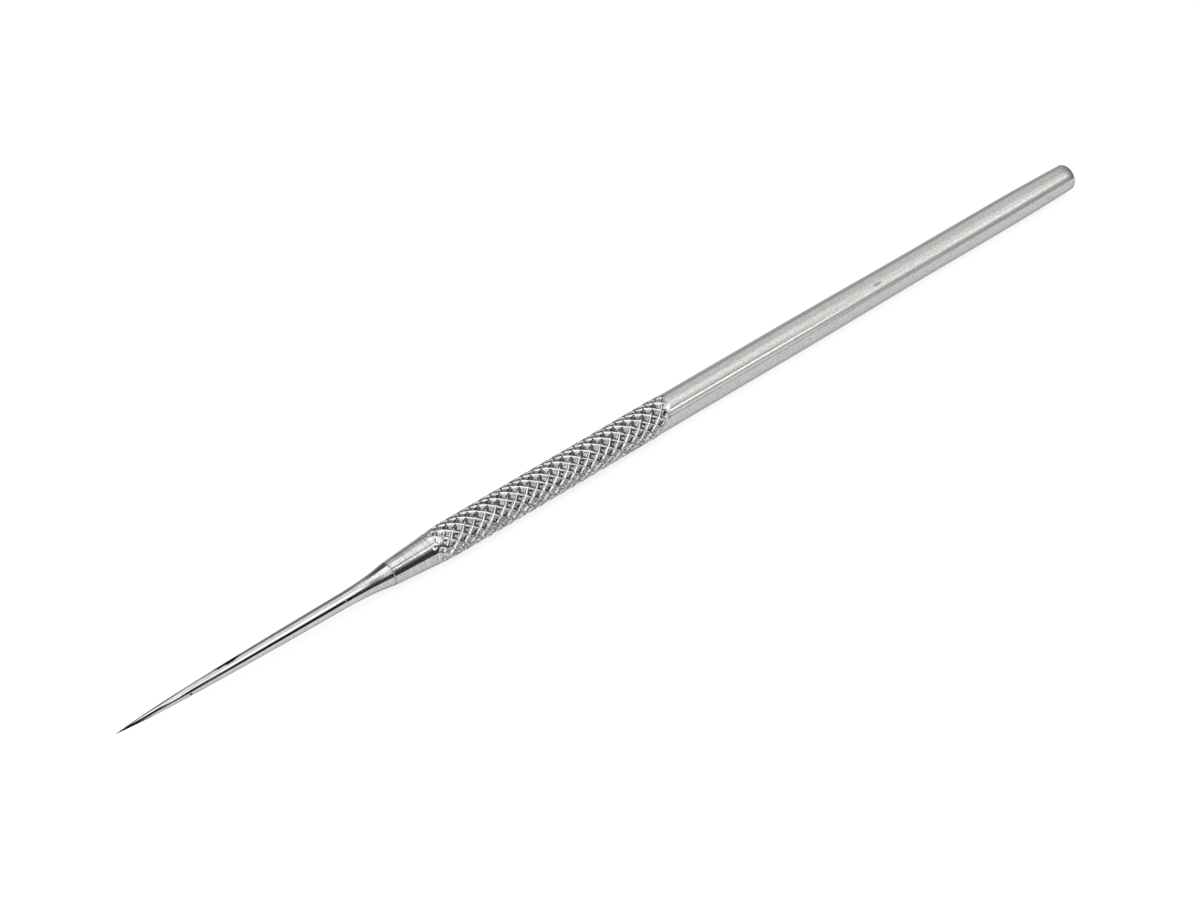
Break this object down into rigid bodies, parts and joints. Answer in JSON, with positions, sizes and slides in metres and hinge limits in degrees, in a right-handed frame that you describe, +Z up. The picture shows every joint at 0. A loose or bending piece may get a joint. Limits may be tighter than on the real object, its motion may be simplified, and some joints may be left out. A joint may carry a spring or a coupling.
{
  "type": "wax carving tool",
  "caption": "Slim steel wax carving tool: a tapered needle point brazed into a stainless handle with a ground nose, a rolled diamond knurl and a plain round shaft.",
  "frame": {"origin": "under the middle of the tool's bounding box, on the surface that the tool lies on", "axes": "+X along the tool from the needle's tip to the butt, +Z up from the surface it lies on, +Y completes the right-handed frame"},
  "size_m": [0.15, 0.0044, 0.0043],
  "materials": {
    "polished_steel": "mirror polished hardened steel with faint lengthwise grinding lines",
    "ground_braze": "ground filler metal, finely speckled",
    "brushed_stainless": "satin stainless steel with fine turning marks round the shaft"
  },
  "bodies": {
    "root": {"needle": "polished_steel", "braze_joint": "ground_braze", "handle": "brushed_stainless"}
  },
  "joints": []
}
